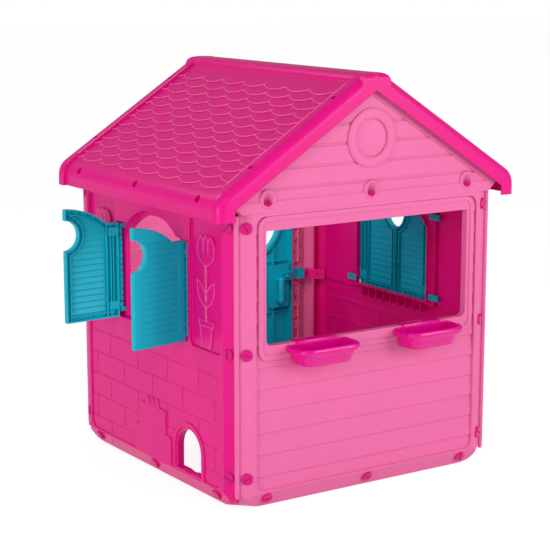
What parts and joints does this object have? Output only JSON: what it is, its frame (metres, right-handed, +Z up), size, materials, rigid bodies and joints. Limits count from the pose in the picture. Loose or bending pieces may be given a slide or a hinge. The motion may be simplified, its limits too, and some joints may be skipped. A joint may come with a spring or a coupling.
{
  "type": "children's playhouse",
  "caption": "Moulded plastic playhouse for children: screwed wall panels, gables and a shingled roof, hinged shutters and door, serving window and hook-on flower boxes.",
  "frame": {"origin": "on the floor, in the middle of the front wall's foot", "axes": "+Z up, -Y the way the serving window faces, +X to the right of someone who faces that window from outside"},
  "size_m": [1.2691, 1.1193, 1.304],
  "materials": {
    "pink_shell": "satin light pink moulded plastic",
    "rose_shell": "satin rose moulded plastic",
    "rose_screw": "smooth rose plastic",
    "teal_shell": "satin teal moulded plastic",
    "deep_rose_gloss": "glossy deep rose plastic",
    "plated_screw": "zinc plated"
  },
  "bodies": {
    "house": {"front_wall": "pink_shell", "back_wall": "pink_shell", "left_wall": "rose_shell", "right_wall": "rose_shell", "front_gable": "pink_shell", "back_gable": "pink_shell", "roof_left": "rose_shell", "roof_right": "rose_shell", "corner_brackets": "rose_shell", "corner_screws": "rose_screw", "base_screws": "rose_screw", "gable_screws": "rose_screw", "eave_screws": "rose_screw", "verge_screws": "rose_screw", "shutter_clips_left": "teal_shell", "shutter_clips_right": "teal_shell", "door_catch": "teal_shell", "door_catch_screw": "plated_screw", "door_hinge_pins": "rose_screw"},
    "door": {"door_panel": "teal_shell", "door_handle": "teal_shell"},
    "latch": {"door_latch": "teal_shell"},
    "left_front_leaf": {"left_shutter_front": "teal_shell"},
    "left_rear_leaf": {"left_shutter_rear": "teal_shell"},
    "right_front_leaf": {"right_shutter_front": "teal_shell"},
    "right_rear_leaf": {"right_shutter_rear": "teal_shell"},
    "left_box": {"flower_box_left": "deep_rose_gloss"},
    "right_box": {"flower_box_right": "deep_rose_gloss"}
  },
  "joints": [
    {"name": "door_hinge", "type": "hinge", "parent": "house", "child": "door", "pos_m": [-0.022, 0.969, 0], "axis": [0, 0, 1], "range_deg": [0, 100]},
    {"name": "latch_slide", "type": "slide", "parent": "door", "child": "latch", "axis": [1, 0, 0], "range_m": [0, 0.034]},
    {"name": "left_front_hinge", "type": "hinge", "parent": "house", "child": "left_front_leaf", "pos_m": [-0.491, 0.248, 0], "axis": [0, 0, 1], "range_deg": [-100, 5]},
    {"name": "left_rear_hinge", "type": "hinge", "parent": "house", "child": "left_rear_leaf", "pos_m": [-0.491, 0.672, 0], "axis": [0, 0, -1], "range_deg": [-87, 18]},
    {"name": "right_front_hinge", "type": "hinge", "parent": "house", "child": "right_front_leaf", "pos_m": [0.491, 0.248, 0], "axis": [0, 0, -1], "range_deg": [0, 105]},
    {"name": "right_rear_hinge", "type": "hinge", "parent": "house", "child": "right_rear_leaf", "pos_m": [0.491, 0.672, 0], "axis": [0, 0, 1], "range_deg": [0, 105]},
    {"name": "left_box_lift", "type": "slide", "parent": "house", "child": "left_box", "axis": [0, 0, 1], "range_m": [0, 0.06]},
    {"name": "right_box_lift", "type": "slide", "parent": "house", "child": "right_box", "axis": [0, 0, 1], "range_m": [0, 0.06]}
  ]
}
